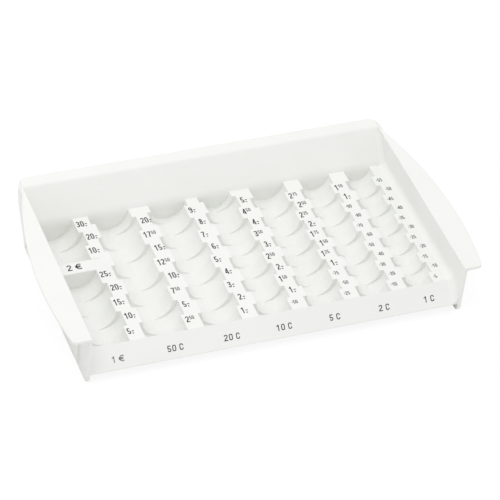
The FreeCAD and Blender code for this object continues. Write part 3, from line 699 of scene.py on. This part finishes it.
def build_side_wall(label, side):
    """One wall with its wing. Thin slices let its rear end follow the round corner."""
    shape = bmesh.new()
    section = wall_outline()
    rings = []
    for step in range(WALL_SLICES + 1):
        x = wall_x + WALL_THICKNESS * step / WALL_SLICES
        furthest_y = corner_y + corner_reach(max(x - corner_x, 0))
        rings.append([shape.verts.new((x * side, min(point.x, furthest_y), point.y)) for point in section])
    for inner, outer in zip(rings, rings[1:]):
        bridge_rings(shape, inner, outer)
    shape.faces.new(rings[0])
    shape.faces.new(rings[-1])
    wing_slab(shape, wing_outline(), side)
    mesh = closed_mesh("side_wall_" + label, shape)
    finish_piece("winged_wall_" + label, mesh, plastic, ["side_wall_" + label])
    build_ribs(label, side)


build_side_wall("left", -1)
build_side_wall("right", 1)


# Fillets: the mould's soft hollow corners along the right-hand wall, where the
# deck, the front band and the back panel meet it. They are part of the same
# moulding, and two of them meet in a mitre at the deck's front edge.
DECK_FILLET = 4.4 * MM
SLOPE_FILLET = 3.5 * MM
SLOPE_FILLET_SHARE = 0.84
BAND_FILLET_REACH = 9.9 * MM
FILLET_ROOT = 0.3 * MM
FILLET_LIFT = 0.01 * MM
FILLET_STEPS = 12


def build_fillet(name, start, end, up, radius, start_slant=0, end_slant=0):
    """A hollow fillet in the corner between a floor and the right-hand wall.

    A slant is how far an end's face leans along the fillet for its height."""
    shape = bmesh.new()
    along = (end - start).normalized()
    profile = [(FILLET_ROOT, -FILLET_ROOT), (-radius, -FILLET_ROOT)]
    for step in range(FILLET_STEPS + 1):
        turn = math.pi / 2 * step / FILLET_STEPS
        profile.append((radius * (math.sin(turn) - 1), radius * (1 - math.cos(turn)) + FILLET_LIFT))
    profile.append((FILLET_ROOT, radius))
    rings = []
    for place, slant in ((start, start_slant), (end, end_slant)):
        lean = up + along * slant
        rings.append([shape.verts.new(place + Vector((x, 0, 0)) + lean * rise) for x, rise in profile])
    bridge_rings(shape, *rings)
    shape.faces.new(rings[0])
    shape.faces.new(rings[1])
    finish_piece(name, closed_mesh(name, shape), plastic)


def build_fillets():
    mitre = math.tan(BAND_SLANT / 2)
    upright = -1
    deck_front = Vector((wall_x, channel_front_y, deck_z))
    deck_back = Vector((wall_x, channel_back_y + INTO_PANEL, deck_z))
    build_fillet("deck_fillet", deck_front, deck_back, Vector((0, 0, 1)), DECK_FILLET, -mitre)
    band_foot = deck_front - Vector((0, 1, 1)) * BAND_FILLET_REACH
    band_up = Vector((0, -1, 1)).normalized()
    build_fillet("band_fillet", deck_front, band_foot, band_up, DECK_FILLET, -mitre, upright)
    slope_foot = Vector((wall_x, channel_back_y, deck_z))
    slope_along = Vector((wall_x, back_y - LIP_WIDTH, rim_z)) - slope_foot
    slope_up = Vector((0, -slope_along.z, slope_along.y)).normalized()
    slope_end = slope_foot + slope_along * SLOPE_FILLET_SHARE
    build_fillet("slope_fillet", slope_foot, slope_end, slope_up, SLOPE_FILLET)


build_fillets()


# Printed values: dark grey print on the ridge to the right of each channel. A
# value is that of the coins up to the end of the segment beside it. Whole euros
# end in a short dash over a dot, and cents are small digits.
INK_COLOUR = (0.030, 0.030, 0.032)
THIN_INK_COLOUR = (0.09, 0.09, 0.093)
INK_PATCH = 1.5 * MM
INK_THIN_FROM = 0.45
INK_CONTRAST = 0.9
INK_SATIN = 0.45
INK_SATIN_SPREAD = 0.15
PRINT_LIFT = 0.03 * MM


def printing_ink(name, thick, thin):
    """Ink whose colour varies between where it lies thick and where it is thin."""
    material, start = empty_material(name)
    place = start.node("ShaderNodeTexCoord", output="Object")
    worn = patches(place, INK_PATCH, detail=3.0, roughness=0.6)
    colour = blended((worn - INK_THIN_FROM) * INK_CONTRAST, thick, thin)
    surface = start.node("ShaderNodeBsdfPrincipled", inputs={
        "Base Color": colour, "Roughness": INK_SATIN + worn * INK_SATIN_SPREAD})
    start.node("ShaderNodeOutputMaterial", inputs={"Surface": surface})
    return material


ink = printing_ink("printing_ink", INK_COLOUR, THIN_INK_COLOUR)

# The characters: plain narrow strokes, drawn with one pen. Points, the pen's
# width and each character's advance are in shares of the character's height.
PEN_WIDTH = 0.138
ARC_STEPS = 14
OVAL_STEPS = 24
DIGIT_ADVANCE = 0.60
ADVANCE = {"-": 0.40, ".": 0.30, " ": 0.26, "€": 0.80}


def arc(centre, reach, start, stop, steps=ARC_STEPS):
    """Points on an arc of an ellipse, with its angles in degrees."""
    points = []
    for step in range(steps + 1):
        angle = math.radians(start + (stop - start) * step / steps)
        points.append((centre[0] + reach[0] * math.cos(angle), centre[1] + reach[1] * math.sin(angle)))
    return points


def oval(centre, reach):
    return arc(centre, reach, 0, 360, OVAL_STEPS)


UPPER_ARC = arc((0.25, 0.75), (0.17, 0.17), 0, 180)
LOWER_ARC = arc((0.25, 0.25), (0.17, 0.17), 180, 360)
SIX = [oval((0.25, 0.29), (0.17, 0.21)), arc((0.25, 0.74), (0.17, 0.18), 15, 180) + [(0.08, 0.29)]]
STROKES = {
    "0": [UPPER_ARC + LOWER_ARC + [(0.42, 0.75)]],
    "1": [[(0.30, 0.0), (0.30, 1.0)], [(0.07, 0.74), (0.20, 0.79), (0.29, 0.92)]],
    "2": [arc((0.25, 0.745), (0.17, 0.175), 185, -10)
          + [(0.40, 0.62), (0.29, 0.44), (0.14, 0.26), (0.09, 0.08)],
          [(0.01, 0.08), (0.48, 0.08)]],
    "3": [arc((0.25, 0.75), (0.165, 0.17), 170, -80), arc((0.25, 0.29), (0.17, 0.21), 80, -170),
          [(0.16, 0.54), (0.28, 0.54)]],
    "4": [[(0.36, 0.0), (0.36, 1.0)], [(0.32, 0.95), (0.07, 0.30)], [(0.0, 0.27), (0.49, 0.27)]],
    "5": [[(0.08, 0.92), (0.45, 0.92)], [(0.12, 0.92), (0.10, 0.47)],
          arc((0.25, 0.30), (0.17, 0.22), 140, -165)],
    "6": SIX,
    "7": [[(0.02, 0.92), (0.48, 0.92)], [(0.42, 0.90), (0.29, 0.55), (0.20, 0.0)]],
    "8": [oval((0.25, 0.735), (0.15, 0.185)), oval((0.25, 0.28), (0.17, 0.20))],
    "9": [[(0.5 - x, 1 - y) for x, y in stroke] for stroke in SIX],
    "C": [[(0.42, 0.66)] + UPPER_ARC + LOWER_ARC + [(0.42, 0.34)]],
    "€": [arc((0.42, 0.5), (0.29, 0.42), 48, 312, OVAL_STEPS), [(0.0, 0.60), (0.56, 0.60)],
          [(0.0, 0.41), (0.53, 0.41)]],
    "-": [[(0.03, 0.45), (0.31, 0.45)]],
    ".": [[(0.03, 0.08), (0.22, 0.08)]],
    " ": []}
CLOSED_WITHIN = 0.01
SHARPEST_CORNER = 0.6


def advance(text, height, narrow):
    """How far a line of characters reaches, with the gap after its last one."""
    return sum(ADVANCE.get(mark, DIGIT_ADVANCE) for mark in text) * height * narrow


def draw_stroke(shape, line, pen, height):
    """Add one stroke of the pen. A line that ends where it starts has no open ends."""
    closed = (line[0] - line[-1]).length < CLOSED_WITHIN * height
    edges = []
    for index, point in enumerate(line):
        before = line[index - 1] if index else (line[-2] if closed else point)
        after = line[index + 1] if index + 1 < len(line) else (line[1] if closed else point)
        back = (point - before).normalized()
        ahead = (after - point).normalized()
        along = (back + ahead).normalized()
        across = Vector((-along.y, along.x)) * (pen * height / 2)
        across /= max(along.dot(ahead if ahead.length else back), SHARPEST_CORNER)
        edges.append([shape.verts.new((*(point + across), 0)), shape.verts.new((*(point - across), 0))])
    for first, second in zip(edges, edges[1:]):
        shape.faces.new((first[0], first[1], second[1], second[0]))


def lettering(text, height, narrow, pen=PEN_WIDTH):
    """Flat letters in the XY plane, from the origin to the right."""
    shape = bmesh.new()
    pen_x = 0
    for mark in text:
        for stroke in STROKES[mark]:
            line = [Vector(((pen_x + x) * narrow, y)) * height for x, y in stroke]
            draw_stroke(shape, line, pen, height)
        pen_x += ADVANCE.get(mark, DIGIT_ADVANCE)
    bmesh.ops.recalc_face_normals(shape, faces=shape.faces)
    for face in shape.faces:
        if face.normal.z < 0:
            face.normal_flip()
    mesh = bpy.data.meshes.new("letters")
    shape.to_mesh(mesh)
    shape.free()
    return mesh


def printed_piece(name, meshes, material=ink):
    """Join printed marks into one flat piece."""
    shape = bmesh.new()
    for mesh in meshes:
        shape.from_mesh(mesh)
        bpy.data.meshes.remove(mesh)
    for face in shape.faces:
        face.smooth = False
    joined = bpy.data.meshes.new(name)
    shape.to_mesh(joined)
    shape.free()
    finish_piece(name, joined, material)


# The values: one for every five coins. Setbacks are in millimetres, from the
# end of the segment to the middle of its value.
DIGIT_HEIGHT = 4.7 * MM
DIGIT_NARROW = 0.86
RAISED_SHARE = 0.60
DASH_NARROW = DIGIT_NARROW * 1.15
DOT_PEN = PEN_WIDTH * 1.2
COINS_PER_LABEL = 5
COIN_CENTS = {"2_euro": 200, "1_euro": 100, "50_cent": 50, "20_cent": 20,
              "10_cent": 10, "5_cent": 5, "2_cent": 2, "1_cent": 1}
LABEL_COUNT = {"2_euro": 3, "1_euro": 5, "50_cent": 8, "20_cent": 9,
               "10_cent": 10, "5_cent": 11, "2_cent": 11, "1_cent": 11}
LABEL_SETBACK = {"2_euro": 4.6, "1_euro": 4.6, "50_cent": 4.2, "20_cent": 4.2,
                 "10_cent": 4.2, "5_cent": 3.9, "2_cent": 3.9, "1_cent": 3.9}
LABEL_GAP = 1.5 * MM
FIRST_COLUMN_GAP = 0.8 * MM


def whole_mark(x):
    """The short dash over a dot, after an amount in whole euros."""
    dash = lettering("-", DIGIT_HEIGHT, DASH_NARROW)
    dot = lettering(".", DIGIT_HEIGHT, DIGIT_NARROW, DOT_PEN)
    for mark in (dash, dot):
        mark.transform(Matrix.Translation((x, 0, 0)))
    return [dash, dot]


def value_label(cents):
    """A value as it is printed: 5 euro is 5 and a dash, 17.50 has a raised 50."""
    euros, rest = divmod(cents, 100)
    small = DIGIT_HEIGHT * RAISED_SHARE
    if not euros:
        digits = lettering("-" + str(rest), small, DIGIT_NARROW)
        digits.transform(Matrix.Translation((0, (DIGIT_HEIGHT - small) / 2, 0)))
        return [digits]
    large = lettering(str(euros), DIGIT_HEIGHT, DIGIT_NARROW)
    large_width = advance(str(euros), DIGIT_HEIGHT, DIGIT_NARROW)
    if not rest:
        return [large, *whole_mark(large_width)]
    digits = lettering(str(rest), small, DIGIT_NARROW)
    digits.transform(Matrix.Translation((large_width, DIGIT_HEIGHT - small, 0)))
    return [large, digits]


def print_scale(coin):
    """A value for each whole segment. It follows the hollow's edge to and fro."""
    front_y = channel_y[coin][0]
    gap = FIRST_COLUMN_GAP if coin in ("2_euro", "1_euro") else LABEL_GAP
    meshes = []
    for number in range(1, LABEL_COUNT[coin] + 1):
        middle = (number * SEGMENT_LENGTH[coin] - LABEL_SETBACK[coin]) * MM
        offset = -SEGMENT_SHIFT if number % 2 else SEGMENT_SHIFT
        x = column_x[coin] + offset + coin_radius(coin) + COIN_PLAY + gap
        y = front_y + middle - DIGIT_HEIGHT / 2
        for mesh in value_label(number * COINS_PER_LABEL * COIN_CENTS[coin]):
            mesh.transform(Matrix.Translation((x, y, deck_z + PRINT_LIFT)))
            meshes.append(mesh)
    printed_piece("scale_" + coin, meshes)


for coin in COIN_DIAMETER:
    print_scale(coin)


# Coin names: wide print in the same ink, on the sloping band in front of each
# column, and on the divider strip for the channel behind it. The name of the
# first column has worn paler than the others.
WORN_INK_COLOUR = (0.17, 0.17, 0.175)
THIN_WORN_COLOUR = (0.34, 0.34, 0.345)
NAME_HEIGHT = 3.6 * MM
NAME_NARROW = 1.35
NAME_PEN = 0.15
NAME_SHIFT = 2.3 * MM
NAME_DOWN = 6.0 * MM
COIN_NAMES = {"1_euro": "1 €", "50_cent": "50 C", "20_cent": "20 C", "10_cent": "10 C",
              "5_cent": "5 C", "2_cent": "2 C", "1_cent": "1 C"}
STRIP_NAME = "2 €"
STRIP_NAME_HEIGHT = 4.6 * MM
STRIP_NAME_NARROW = 1.25
STRIP_NAME_SHIFT = 0.9 * MM
STRIP_NAME_RISE = 0.4 * MM
worn_ink = printing_ink("worn_ink", WORN_INK_COLOUR, THIN_WORN_COLOUR)


def print_band_names():
    """The names on the band, each turned to lie on its slope."""
    meshes = []
    for coin, words in COIN_NAMES.items():
        mesh = lettering(words, NAME_HEIGHT, NAME_NARROW, NAME_PEN)
        width = advance(words, NAME_HEIGHT, NAME_NARROW)
        mesh.transform(Matrix.Translation((-width / 2, -NAME_HEIGHT / 2, PRINT_LIFT)))
        mesh.transform(Matrix.Rotation(BAND_SLANT, 4, "X"))
        x = column_x[coin] + NAME_SHIFT
        mesh.transform(Matrix.Translation((x, channel_front_y - NAME_DOWN, deck_z - NAME_DOWN)))
        if coin == "1_euro":
            printed_piece("worn_name", [mesh], worn_ink)
        else:
            meshes.append(mesh)
    printed_piece("coin_names", meshes)


def print_strip_name():
    low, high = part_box("divider_strip")
    mesh = lettering(STRIP_NAME, STRIP_NAME_HEIGHT, STRIP_NAME_NARROW, NAME_PEN)
    width = advance(STRIP_NAME, STRIP_NAME_HEIGHT, STRIP_NAME_NARROW)
    x = column_x["2_euro"] + STRIP_NAME_SHIFT - width / 2
    y = (low.y + high.y - STRIP_NAME_HEIGHT) / 2 + STRIP_NAME_RISE
    mesh.transform(Matrix.Translation((x, y, deck_z + PRINT_LIFT)))
    printed_piece("strip_name", [mesh])


print_band_names()
print_strip_name()


# Studio: a white floor under a white sky, which the camera and reflections see
# as plain white, with one large soft lamp above the tray and to its left.
SKY_LIGHT = 0.87
SKY_SEEN = 1.0
FLOOR_COLOUR = (0.88, 0.88, 0.88)
FLOOR_GLOW = 1.04
FLOOR_GLOW_SHARE = 0.84
FLOOR_HALF_WIDTH = 3.0
LAMP_PLACE = (-0.30, 0.10, 1.25)
LAMP_WIDTH = 1.0
LAMP_WATTS = 4.1
WHITE = (1, 1, 1, 1)


def white_sky():
    world = bpy.data.worlds.new("white_sky")
    bpy.context.scene.world = world
    world.use_nodes = True
    world.node_tree.nodes.clear()
    start = Wire(world.node_tree)
    camera_ray = start.node("ShaderNodeLightPath", output="Is Camera Ray")
    glossy_ray = start.node("ShaderNodeLightPath", output="Is Glossy Ray")
    seen = start.maths("MAXIMUM", camera_ray, glossy_ray)
    strength = SKY_LIGHT + seen * (SKY_SEEN - SKY_LIGHT)
    sky = start.node("ShaderNodeBackground", inputs={"Color": WHITE, "Strength": strength})
    start.node("ShaderNodeOutputWorld", inputs={"Surface": sky})


def white_floor():
    material, start = empty_material("floor_white")
    lit = start.node("ShaderNodeBsdfDiffuse", inputs={"Color": (*FLOOR_COLOUR, 1)})
    plain = start.node("ShaderNodeEmission", inputs={"Color": WHITE, "Strength": FLOOR_GLOW})
    camera_ray = start.node("ShaderNodeLightPath", output="Is Camera Ray")
    surface = start.node("ShaderNodeMixShader", inputs={0: camera_ray * FLOOR_GLOW_SHARE, 1: lit, 2: plain})
    start.node("ShaderNodeOutputMaterial", inputs={"Surface": surface})
    shape = bmesh.new()
    bmesh.ops.create_grid(shape, x_segments=1, y_segments=1, size=FLOOR_HALF_WIDTH)
    mesh = bpy.data.meshes.new("floor")
    shape.to_mesh(mesh)
    shape.free()
    mesh.materials.append(material)
    floor = bpy.data.objects.new("floor", mesh)
    bpy.context.scene.collection.objects.link(floor)


def soft_lamp():
    light = bpy.data.lights.new("key", "AREA")
    light.shape = "DISK"
    light.size = LAMP_WIDTH
    light.energy = LAMP_WATTS
    lamp = bpy.data.objects.new("key", light)
    lamp.location = LAMP_PLACE
    lamp.rotation_euler = (-Vector(LAMP_PLACE)).to_track_quat("-Z", "Y").to_euler()
    bpy.context.scene.collection.objects.link(lamp)


white_sky()
white_floor()
soft_lamp()

# Camera: where the photograph was taken from, above the tray's front left.
# Its place and turn were worked out from the sizes of the coins' channels.
CAMERA_PLACE = (-0.51050, -1.08031, 1.09440)
CAMERA_TURN = (47.656, -4.749, -19.789)
camera_data = bpy.data.cameras.new("camera")
camera_data.sensor_width = 36
camera_data.lens = 204.0
camera_data.shift_x = 0.11385
camera_data.shift_y = -0.01083
camera_data.clip_start = 0.05
camera = bpy.data.objects.new("camera", camera_data)
camera.location = CAMERA_PLACE
camera.rotation_euler = Euler([math.radians(turn) for turn in CAMERA_TURN])
bpy.context.scene.collection.objects.link(camera)
bpy.context.scene.camera = camera
bpy.context.scene.view_settings.view_transform = "Standard"
